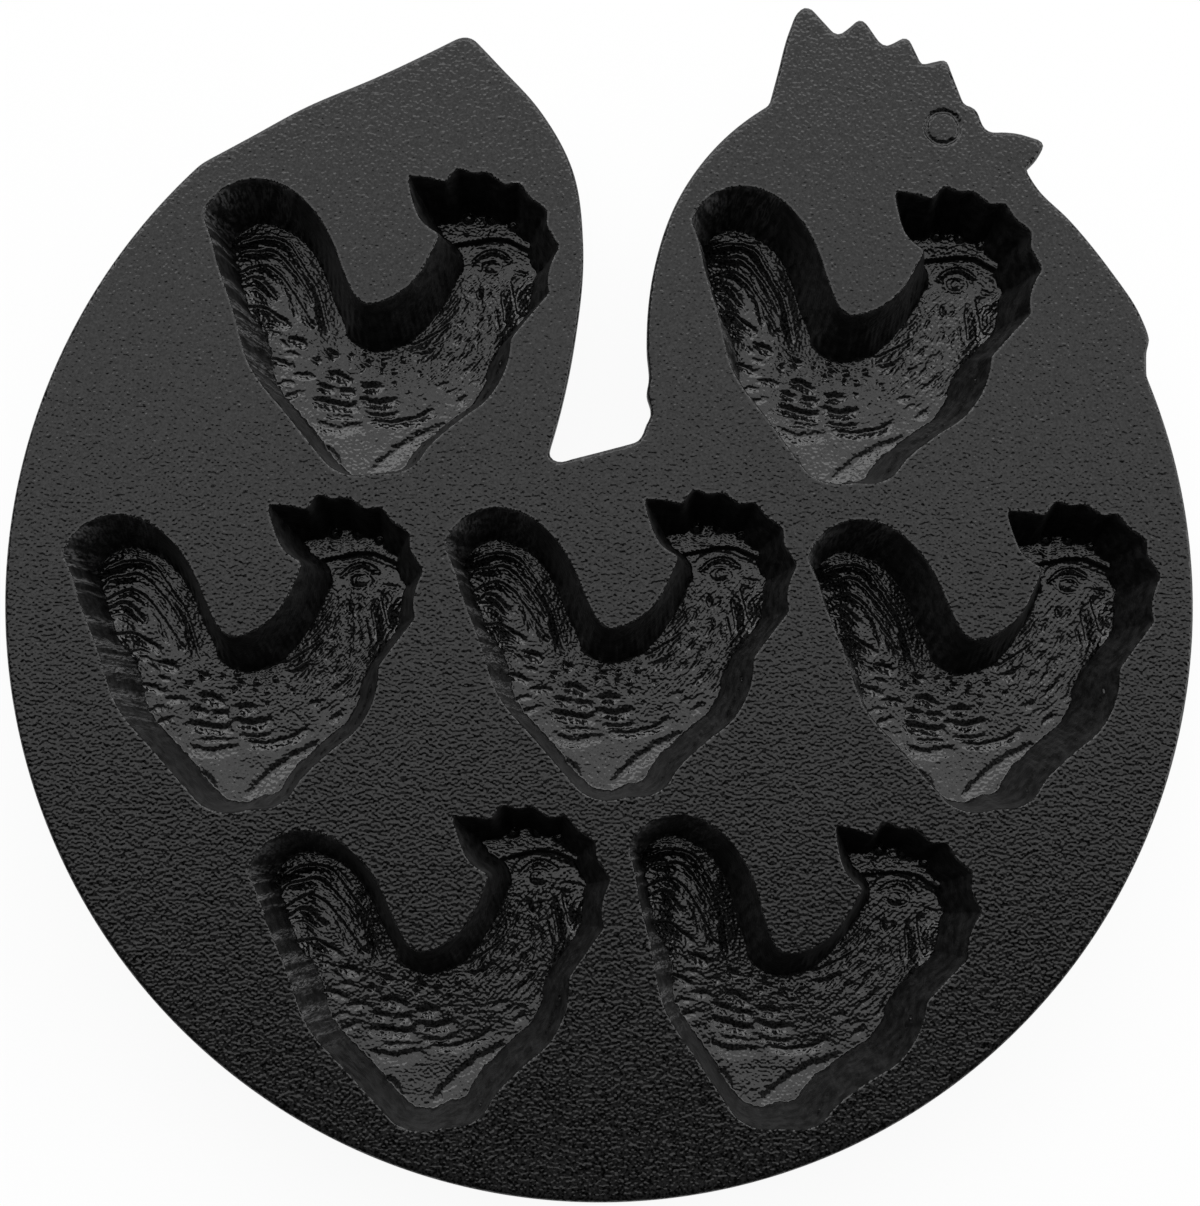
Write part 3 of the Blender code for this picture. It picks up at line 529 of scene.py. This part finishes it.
def stroke_hollows(points, strokes, strength, width):
    """Depth of the feathers: across a stroke it rises from 0 to the depth over the first width, by a smooth
    step, and falls back in a straight slope by the second. It fades at both ends, and the deepest stroke
    counts."""
    depth = np.zeros(len(points))
    for line, deep, steep, reach in strokes:
        deep, steep = deep * strength, steep * width
        reach = max(reach, LEAST_REACH * steep)
        path = curve_through(line, STROKE_STEP)
        path = np.concatenate([path, [line[-1]]])
        low, high = path.min(axis=0) - reach, path.max(axis=0) + reach
        near = np.flatnonzero(((points > low) & (points < high)).all(axis=1))
        if not len(near):
            continue
        side = np.diff(path, axis=0)
        length = np.linalg.norm(side, axis=1)
        begun = np.concatenate([[0.0], np.cumsum(length)])
        to_point = points[near][:, None] - path[:-1]
        share = np.clip((to_point * side).sum(axis=2) / length**2, 0.0, 1.0)
        gap = to_point - share[..., None] * side
        far = (gap**2).sum(axis=2)
        best = far.argmin(axis=1)
        row = np.arange(len(near))
        right = side[best, 1] * gap[row, best, 0] - side[best, 0] * gap[row, best, 1]
        away = np.sqrt(far[row, best])
        along = (begun[best] + share[row, best] * length[best]) / begun[-1]
        fade = min(FADE_LENGTH, begun[-1] / FADE_SHARE)
        end = np.clip(np.minimum(along, 1.0 - along) * begun[-1] / fade, 0.0, 1.0)
        sink = np.clip(away / steep, 0.0, 1.0)
        sink = sink * sink * (3.0 - 2.0 * sink)
        rise = np.clip((reach - away) / (reach - steep), 0.0, 1.0)
        hollow = deep * np.minimum(sink, rise) * end**FADE_POWER * (right > 0)
        depth[near] = np.maximum(depth[near], hollow)
    return depth


DRAFT = math.tan(math.radians(13.0))
BROW = ((8.0, 29.0), (15.0, 28.0), (20.0, 29.5), (29.0, 31.4), (34.0, 31.0), (39.0, 28.5), (50.0, 23.0))


def smooth(value):
    """0 below 0, 1 above 1, and a smooth rise between. So smooth((x - 30.0) / 8.0) marks what lies east of 30
    millimetres, fading in over 8, and smooth((20.0 - y) / 6.0) what lies south of 20, fading in over 6."""
    share = np.clip(value, 0.0, 1.0)
    return share * share * (3.0 - 2.0 * share)


def lesser(one, other, softness):
    """The lesser of two depths, with a round where they cross."""
    share = np.clip(0.5 + (other - one) / (2 * softness), 0.0, 1.0)
    return other + (one - other) * share - softness * share * (1.0 - share)


EYEBALL = (29.5, 23.9)
BUMPS = (
    ((22.5, 37.2), 2.0, 1.2), ((29.2, 37.0), 1.8, 1.2), ((35.4, 35.0), 1.6, 1.0), (EYEBALL, 1.5, 0.25),
    ((-2.5, -1.5), 1.1, 0.6), ((3.0, -0.6), 1.0, 0.6), ((0.3, -5.3), 1.1, 0.6), ((5.8, -4.4), 1.0, 0.6),
    ((3.4, -7.9), 1.0, 0.5), ((-5.3, -2.7), 1.0, 0.5),
)


def sway(points):
    """How far the carver's hand wandered at each point: waves of a few millimetres, crossing each other."""
    x, y = points[:, 0], points[:, 1]
    across = 0.22 * np.sin(1.9 * x + 0.7 * y) + 0.14 * np.sin(3.1 * y - 1.3 * x + 1.0)
    along = 0.20 * np.sin(2.3 * x - 0.9 * y) + 0.15 * np.sin(3.7 * x + 1.1 * y + 2.0)
    across += 0.3 * np.sin(0.8 * y - 0.5 * x)
    along += 0.3 * np.sin(0.7 * x + 0.6 * y)
    return np.stack([across, along], axis=1)


PLAIN_DEPTH = 22.5
BOWL = 5.5
BOWL_MIDDLE, BOWL_RADII = (-1.0, -16.0), (42.0, 34.0)
EDGE_RISE, BREAST_RISE, RISE_REACH = 4.5, 3.5, 12.0
BREAST_FROM, BREAST_FADE = 7.9, 12.0
BEAK_FROM, BEAK_SLOPE = 26.0, 0.22


def shell_floor(points, inside):
    """Depth of a mould without its carving: a shallow bowl under the body, shallower by the square towards
    every wall, by a slope on the breast and by a slope towards the beak."""
    across = (points / MOULD_UNIT - BOWL_MIDDLE) / BOWL_RADII
    bowl = BOWL * np.clip(1.0 - (across**2).sum(axis=1), 0.0, None)
    edge = EDGE_RISE * np.clip(1.0 - inside / RISE_REACH, 0.0, None) ** 2
    on_breast = smooth((points[:, 0] - BREAST_FROM) / BREAST_FADE) * smooth(-points[:, 1] / BREAST_FADE)
    breast = BREAST_RISE * on_breast * np.clip(1.0 - inside / RISE_REACH, 0.0, None)
    face = BEAK_SLOPE * np.clip(points[:, 0] - BEAK_FROM, 0.0, None) * (1.0 - on_breast)
    return PLAIN_DEPTH + bowl - edge - breast - face


def shingle(across, spacing, height):
    """A row of overlapping edges: the depth jumps up by the height at each one and falls slowly on."""
    return height * (0.5 - (across / spacing) % 1.0)


FLOOR_DEPTH = 25.4
TAIL_RISE = 1.5
COMB_RISE = 2.4
FACE_SLOPE = 0.15
FOOT_FROM, FOOT_SLOPE = -20.0, 0.08
TAIL_SIDE, FACE_SIDE, THIGH_SIDE = 0.35, 0.3, 0.06
SIDE_REACH = 13.0
TAIL_BARBS = (1.35, 0.08)
NECK_BARBS = (1.45, 0.18)
LID_RADIUS, LID_WIDTH, LID_DEPTH = 2.2, 0.5, 0.28


def carved_floor(points, inside, hollows):
    """Depth of the carved floor: level under the back, rising to the foot, shallower under the tail, the face
    and the comb, and sloping up to the walls at the tail's end, the face and the thighs.

    The feathers are hollows in it. Between them fine edges overlap, in arcs round the tail and along the
    neck. The comb's lobes, the eyeball and the back's tufts stand out of it, and the lid is a ring cut in it.
    """
    x, y = points[:, 0], points[:, 1]
    brow = np.array(BROW)
    above = y - np.interp(x, brow[:, 0], brow[:, 1])
    comb = COMB_RISE * smooth((above + 0.3) / 0.8) * (x > 5.0)
    tail = TAIL_SIDE * smooth((-28.0 - x) / 10.0) * smooth((30.0 - y) / 6.0)
    face = FACE_SIDE * smooth((x - 30.0) / 8.0) * smooth((20.0 - y) / 6.0)
    thighs = THIGH_SIDE * smooth((-6.0 - y) / 8.0)
    slope = np.maximum.reduce([tail, face, thighs])
    sides = slope * SIDE_REACH * np.clip(1.0 - inside / SIDE_REACH, 0.0, None) ** 1.2
    level = FLOOR_DEPTH - TAIL_RISE * smooth((-12.0 - x) / 12.0)
    level -= FACE_SLOPE * np.clip(x - BEAK_FROM, 0.0, None)
    level -= FOOT_SLOPE * np.clip(FOOT_FROM - y, 0.0, None)
    on_tail = smooth((-12.0 - x) / 4.0) * smooth((y + 1.0) / 6.0)
    on_neck = smooth((x - 9.0) / 5.0) * smooth((y + 14.0) / 6.0) * smooth((25.0 - y) / 5.0)
    arcs = np.hypot(x + 40.0, y - 5.0)
    wave = 0.5 * np.sin(0.45 * x + 0.2 * y) + 0.4 * np.sin(0.6 * y - 0.25 * x) + 0.8 * sway(points)[:, 0]
    barbs = on_tail * shingle(-arcs + 0.6 * wave, *TAIL_BARBS)
    barbs += on_neck * shingle(0.79 * x - 0.62 * y + 0.6 * wave, *NECK_BARBS)
    bumps = np.zeros(len(points))
    for middle, radius, height in BUMPS:
        away = np.linalg.norm(points - np.array(middle), axis=1) / radius
        bumps = np.maximum(bumps, height * np.clip(1.0 - away**2, 0.0, None))
    from_lid = np.hypot((x - EYEBALL[0]) / 1.35, y - EYEBALL[1]) - LID_RADIUS
    lid = LID_DEPTH * np.exp(-((from_lid / LID_WIDTH) ** 2))
    return level - sides - comb + hollows + barbs - bumps + lid


CARVED_GROUPS = (
    (TAIL, 0.7, 0.9), (WING, 0.8, 1.3), (LEGS, 0.6, 1.6), (HEAD, 0.7, 0.9), (HACKLES, 0.45, 0.9),
)
BACK_LEAN, COMB_LEAN, TAIL_LEAN, RUMP_LEAN, BREAST_LEAN = 1.0, 1.3, 1.2, 1.1, -1.2
WALL_START = 0.4
LEAN_FADE = 4.0
FLOOR_ROUND, LIP_ROUND = 1.0, 0.8
HIGHEST = -3.0
GROOVE_SHARE, GROOVE_SWAY = 0.9, 0.5
# How strongly the feathers' hollows are painted dark: painted shade.
HOLLOW_SHADE_STRENGTH = 1.4


def mould_depth(points, inside):
    """Depth of the mould, and its painted light: from -1 for a painted highlight on streaks of the west walls
    to 1 for painted shade in the feathers' hollows.

    A drafted wall, in which the feathers end as grooves, runs in a round into the floor and over a lip into
    the deck. As the pattern maker cut it, it is steeper at the back, the comb, the tail and the rump, and
    gentler at the breast. On the west walls the painted highlight runs in streaks between the feathers' ends.
    """
    calm = 0.55 - 0.4 * np.maximum(smooth((points[:, 0] - 24.0) / 3.0), smooth((points[:, 1] - 1.0) / 3.0))
    carved = points + sway(points) * calm[:, None]
    hollows = np.maximum.reduce([stroke_hollows(carved, *group) for group in CARVED_GROUPS])
    grooves = (GROOVE_SHARE * hollows + GROOVE_SWAY * sway(points)[:, 1]) * smooth((inside - 0.7) / 2.0)
    x, y = points[:, 0], points[:, 1]
    back = smooth((y - 1.0) / 5.0) * smooth((x + 44.0) / 8.0) * smooth((24.0 - x) / 6.0)
    back = back * smooth((30.0 - y + (x < 0.0) * 20.0) / 4.0)
    comb = smooth((y - 33.0) / 2.0) * smooth((x - 12.0) / 4.0)
    breast = smooth((x - 3.0) / 8.0) * smooth((-2.0 - y) / 6.0)
    rump = smooth((-4.0 - y) / 10.0) * smooth((4.0 - x) / 6.0)
    lean = BACK_LEAN * back + RUMP_LEAN * rump + COMB_LEAN * comb + BREAST_LEAN * breast
    lean += TAIL_LEAN * smooth((-34.0 - x) / 6.0)
    wall = WALL_START + (inside + grooves + lean * smooth(inside / LEAN_FADE)) / DRAFT
    floor = lesser(wall, carved_floor(points, inside, hollows), FLOOR_ROUND)
    # Painted highlight: lighter streaks on the west walls where no feather hollow is. The hollows get painted
    # shade.
    west = smooth((-22.0 - x) / 6.0) * smooth((y + 24.0) / 12.0)
    streaks = np.sin(1.6 * (y - 0.35 * x) + 3.0 * sway(points)[:, 0]) + 0.5 * np.sin(4.3 * (y - 0.3 * x))
    ridge_highlight = west * np.clip(0.6 + 0.55 * streaks - 1.6 * hollows, 0.0, 1.0)
    painted_relief_light = np.clip(HOLLOW_SHADE_STRENGTH * hollows - ridge_highlight, -1.0, 1.0)
    return -lesser(-np.maximum(floor, HIGHEST), 0.0 * wall, LIP_ROUND), painted_relief_light


CUP_START = 0.6
CUP_FLOOR = 4.6
CUP_TOP = 4.5
CUP_ROUND, SEAT_ROUND, SHOULDER_ROUND = 6.0, 0.5, 9.0


def cup_depth(points, inside, start):
    """Depth of a cup's outside: the mould's shape a wall further out, thick enough below to stand flat, with
    a round where it runs into the deck."""
    wall = CUP_START + (inside - start) / DRAFT
    outer = lesser(wall, shell_floor(points, inside - start) + CUP_FLOOR, CUP_ROUND)
    outer = lesser(outer, DECK_TOP + 0.0 * wall, SEAT_ROUND)
    return -lesser(-outer, -CUP_TOP + 0.0 * wall, SHOULDER_ROUND)


def put(points, spot, turn, size):
    """A mould's own plan points on the pan: turned, scaled and moved."""
    angle = math.radians(turn)
    turned = points @ np.array([[math.cos(angle), math.sin(angle)], [-math.sin(angle), math.cos(angle)]])
    return turned * size + np.array(spot) + BODY_MIDDLE


SAME_SPOT = 2e-6
SHARP_FROM = 50.0


def closed_piece(name, shells, material):
    """One closed mesh of several sheets, joined where they meet. A sheet is its corners in millimetres, its
    faces and the painted light on its corners."""
    mesh = bpy.data.meshes.new(name)
    corners, faces, painted_relief_light, start = [], [], [], 0
    for sheet, its_faces, its_painted_relief_light in shells:
        corners.append(sheet)
        painted_relief_light.append(np.zeros(len(sheet)) + its_painted_relief_light)
        faces += (np.array(f) + start for f in its_faces) if start else its_faces
        start += len(sheet)
    mesh.from_pydata((np.concatenate(corners) * MM).tolist(), [], [tuple(map(int, f)) for f in faces])
    # The corners' painted light goes to the mesh as an attribute for the iron's colour.
    mesh.attributes.new("painted_relief_light", "FLOAT", "POINT").data.foreach_set("value", np.concatenate(painted_relief_light))
    shape = bmesh.new()
    shape.from_mesh(mesh)
    bmesh.ops.remove_doubles(shape, verts=shape.verts, dist=SAME_SPOT)
    for vertex in [v for v in shape.verts if not v.link_faces]:
        shape.verts.remove(vertex)
    open_sides = sum(1 for edge in shape.edges if not edge.is_manifold)
    shape.to_mesh(mesh)
    shape.free()
    print("piece", name, len(mesh.polygons), "faces,", open_sides, "open sides")
    mesh.shade_smooth()
    mesh.set_sharp_from_angle(angle=math.radians(SHARP_FROM))
    mesh.materials.append(material)
    piece = bpy.data.objects.new(name, mesh)
    scene.collection.objects.link(piece)
    return piece


NET_GAP = 1e-5


def ring_sheet(outer, inner):
    """Triangles between two bordering sets of sides: corners and faces."""
    sides = outer[1].tolist() + (inner[1] + len(outer[0])).tolist()
    found = delaunay_2d_cdt([tuple(p) for p in np.concatenate([outer[0], inner[0]])], sides, [], 0, NET_GAP)
    return np.array([tuple(p) for p in found[0]]), np.array(found[2])


def within(points, corners, sides):
    """Whether each point lies within a closed set of sides: a line to its right crosses them an odd number of
    times."""
    start, end = corners[sides[:, 0]], corners[sides[:, 1]]
    rise = np.where(end[:, 1] == start[:, 1], 1.0, end[:, 1] - start[:, 1])
    result = np.empty(len(points), bool)
    for first in range(0, len(points), AT_ONCE):
        some = points[first:first + AT_ONCE]
        spans = (start[:, 1] > some[:, None, 1]) != (end[:, 1] > some[:, None, 1])
        crossing = start[:, 0] + (some[:, None, 1] - start[:, 1]) * (end[:, 0] - start[:, 0]) / rise
        result[first:first + AT_ONCE] = (spans & (some[:, None, 0] < crossing)).sum(axis=1) % 2 == 1
    return result


LIP_LEVEL = -0.85
SHELL_START = -3.284
SHELL_LEVEL = -5.0
net, inside, net_faces, lip_sides = cells_inside(mouth, LIP_LEVEL, CELL, 6)
depths, painted_relief_light = mould_depth(net, inside)
depths[inside == LIP_LEVEL] = 0.0
shell, shell_inside, shell_faces, shell_sides = cells_inside(mouth, SHELL_LEVEL, SHELL_CELL)
shell_depths = cup_depth(shell, shell_inside, SHELL_START)
SEAT = 4.2
shell_depths[shell_inside == SHELL_LEVEL] = SEAT
lip_loop = np.unique(lip_sides)
neck_faces = np.column_stack([lip_sides, lip_sides[:, ::-1] + len(net)])[:, [0, 3, 2, 1]]
seat_plan, seat_faces = ring_sheet((shell, shell_sides), (net, lip_sides))
centres = seat_plan[seat_faces].mean(axis=1)
seat_faces = seat_faces[within(centres, shell, shell_sides) & ~within(centres, net, lip_sides)]
for name, spot, turn, size in MOULDS:
    plan = put(net, spot, turn, size)
    shell_plan = put(shell, spot, turn, size)
    cavity = np.column_stack([plan, DECK_TOP - depths])
    neck = np.concatenate([cavity, np.column_stack([plan, np.full(len(plan), DECK_TOP - SEAT)])])
    outside = np.column_stack([shell_plan, DECK_TOP - shell_depths])
    seat = np.column_stack([put(seat_plan, spot, turn, size), np.full(len(seat_plan), DECK_TOP - SEAT)])
    cup = closed_piece("cup_" + name, [
        (cavity, net_faces, painted_relief_light), (neck, neck_faces.tolist(), 0.0), (seat, seat_faces.tolist(), 0.0),
        (outside, [face[::-1] for face in shell_faces], 0.0),
    ], mould_iron)
    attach(cup, "root")
    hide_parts("mould_cup_" + name)

# Deck: a flat plate in the outline of a rooster, cast with the moulds, its rim rounded above and below. Its
# eye is a shallow ring, and two stubs of iron are left where the casting's feeders were broken off.
# The outline counts in hundredths of the round body's half width.
BODY_UNIT = np.array([1.6375, 1.661])
TAIL_BACK = ((-66.9, 73.9), (-59.8, 77.8), (-51.2, 82.6), (-37.5, 88.6), (-24.7, 94.9))
TAIL_TIP = ((-24.7, 94.9), (-22.8, 95.4), (-21.3, 94.9))
TAIL_FRONT = (
    (-21.3, 94.9), (-16.9, 90.2), (-10.0, 82.5), (-4.5, 72.4), (-2.6, 59.0), (-4.0, 42.6), (-8.2, 24.3),
)
NOTCH_CORNER = ((-8.2, 24.3), (-8.3, 22.8), (-6.9, 21.9), (-4.9, 22.3))
NOTCH_FLOOR = ((-4.9, 22.3), (0.2, 23.6), (6.6, 25.3))
NAPE = (
    (6.6, 25.3), (7.6, 26.8), (8.0, 28.2), (8.7, 29.2), (8.8, 31.2), (8.2, 32.8), (8.1, 33.6), (8.5, 35.4),
    (8.2, 40.8), (9.4, 54.6), (13.9, 67.5), (20.8, 76.8), (29.4, 83.4),
)
COMB_BACK = ((29.4, 83.4), (30.8, 88.6), (33.2, 97.0), (34.7, 100.1), (36.0, 100.8), (36.8, 100.4))
COMB_SPIKES = (
    (36.8, 100.4), (40.6, 96.1), (41.6, 95.7), (42.9, 96.7), (45.1, 98.6), (46.2, 97.9), (48.6, 94.3),
    (49.6, 93.7), (51.3, 94.5), (52.9, 95.5), (53.7, 94.9), (55.7, 90.5), (60.0, 91.5), (61.0, 88.6),
    (62.9, 83.4),
)
BROW_EDGE = ((62.9, 83.4), (64.5, 83.0), (66.8, 78.9), (67.7, 78.6))
BEAK = ((67.7, 78.6), (74.2, 77.8), (76.6, 76.6), (76.2, 75.6), (73.3, 72.2))
CHEST = ((73.3, 72.2), (75.2, 68.9), (80.4, 63.6), (87.9, 54.0), (91.9, 47.8), (93.5, 43.9))
CHEST_FOOT = ((93.5, 43.9), (93.8, 42.6), (93.2, 40.7), (93.3, 38.8))
ROUND_FROM, ROUND_TO, ROUND_STEPS = 21.4, -228.0, 240
turns = np.radians(np.linspace(ROUND_FROM, ROUND_TO, ROUND_STEPS, endpoint=False))
body_round = np.stack([np.cos(turns), np.sin(turns)], axis=1) * 100
strokes_back = [curve_through(s, 1.0) for s in
                (TAIL_BACK, TAIL_TIP, TAIL_FRONT, NOTCH_CORNER, NOTCH_FLOOR, NAPE, COMB_BACK)]
strokes_face = [curve_through(s, 1.0) for s in (BROW_EDGE, BEAK, CHEST, CHEST_FOOT)]
rim = np.concatenate([body_round, *strokes_back, np.array(COMB_SPIKES)[:-1], *strokes_face]) * BODY_UNIT
rim = softened_loop(rim + BODY_MIDDLE, spacing=1.3, softness=0.8)[::-1]
RIM_ROUND = 1.3
RIM_INSETS = (0.12, 0.35, 0.7, 1.3, 2.2)
LEAST_SHARE = 0.96
RIM_BAND = 3.5
ON_RIM = 0.01
DECK_THICKNESS = 4.5
DECK_CELL, DECK_REACH = 4.0, 170.0
EYE = np.array([59.1, 79.3]) * BODY_UNIT + BODY_MIDDLE
EYE_RADIUS, EYE_HALF_WIDTH, EYE_DEPTH = 4.7, 0.8, 0.55
EYE_RINGS = (3.4, 3.9, 4.2, 4.5, 4.8, 5.1, 5.5, 6.0)
EYE_STEPS = 72


def rim_drop(distance):
    """How far the rounded edge lies below the flat: a quarter circle by the distance from the rim."""
    across = np.clip(RIM_ROUND - distance, 0.0, RIM_ROUND)
    return RIM_ROUND - np.sqrt(RIM_ROUND**2 - across**2)


following = np.roll(rim, -1, axis=0) - np.roll(rim, 1, axis=0)
inwards = np.stack([-following[:, 1], following[:, 0]], axis=1) / np.linalg.norm(following, axis=1)[:, None]
bands = np.concatenate([rim + inwards * inset for inset in RIM_INSETS])
inset_by = np.repeat(RIM_INSETS, len(rim))
bands = bands[spots_on(bands, rim)[0] > LEAST_SHARE * inset_by]
reach = np.arange(-DECK_REACH, DECK_REACH, DECK_CELL)
open_deck = np.stack(np.meshgrid(reach, reach), axis=-1)
open_deck[1::2, :, 0] += DECK_CELL / 2
open_deck = open_deck.reshape(-1, 2)
open_deck = open_deck[spots_on(open_deck, rim)[0] > RIM_BAND]
round_angles = np.linspace(0, 2 * math.pi, EYE_STEPS, endpoint=False)
circle = np.stack([np.cos(round_angles), np.sin(round_angles)], axis=1)
eye_rings = np.concatenate([EYE + circle * radius for radius in EYE_RINGS])
mouths = [(put(net, *m[1:]), lip_sides) for m in MOULDS]
sets = [rim] + [plan[lip_loop] for plan, _ in mouths]
loose = np.concatenate([bands, open_deck, eye_rings])
for plan, sides in mouths:
    loose = loose[~within(loose, plan, sides)]
corner_index = np.full(len(net), -1)
corner_index[lip_loop] = np.arange(len(lip_loop))
order = np.arange(len(rim))
deck_sides = [np.stack([order, np.roll(order, -1)], axis=1)]
for k in range(len(MOULDS)):
    deck_sides.append(corner_index[lip_sides] + len(rim) + k * len(lip_loop))
deck_points = np.concatenate(sets + [loose])
found = delaunay_2d_cdt(
    [tuple(p) for p in deck_points], np.concatenate(deck_sides).tolist(), [list(range(len(rim)))], 1, NET_GAP,
)
deck_plan = np.array([tuple(p) for p in found[0]])
deck_faces = np.array(found[2])
centres = deck_plan[deck_faces].mean(axis=1)
holes = np.zeros(len(centres), bool)
for plan, sides in mouths:
    holes |= within(centres, plan, sides)
deck_faces = deck_faces[~holes]
from_rim = spots_on(deck_plan, rim)[0]
from_rim[from_rim < ON_RIM] = 0.0
from_eye = np.linalg.norm(deck_plan - EYE, axis=1) - EYE_RADIUS
groove = EYE_DEPTH * np.clip(1.0 - (from_eye / EYE_HALF_WIDTH) ** 2, 0.0, None)
top = np.column_stack([deck_plan, DECK_TOP - rim_drop(from_rim) - groove])
bottom = np.column_stack([deck_plan, DECK_TOP - DECK_THICKNESS + rim_drop(from_rim)])
edge = np.concatenate([
    np.column_stack([rim, np.full(len(rim), DECK_TOP - RIM_ROUND)]),
    np.column_stack([rim, np.full(len(rim), DECK_TOP - DECK_THICKNESS + RIM_ROUND)]),
])
edge_faces = np.stack([order, order + len(rim), np.roll(order, -1) + len(rim), np.roll(order, -1)], axis=1)
necks = []
for plan, sides in mouths:
    high = np.column_stack([plan, np.full(len(plan), DECK_TOP)])
    deep = np.column_stack([plan, np.full(len(plan), DECK_TOP - DECK_THICKNESS)])
    neck_sides = np.column_stack([sides, sides[:, ::-1] + len(plan)])
    necks.append((np.concatenate([high, deep]), neck_sides.tolist(), 0.0))
deck = closed_piece("deck_plate", [
    (top, deck_faces.tolist(), 0.0), (bottom, deck_faces[:, ::-1].tolist(), 0.0),
    (edge, edge_faces.tolist(), 0.0), *necks,
], deck_iron)
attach(deck, "root")
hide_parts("deck")
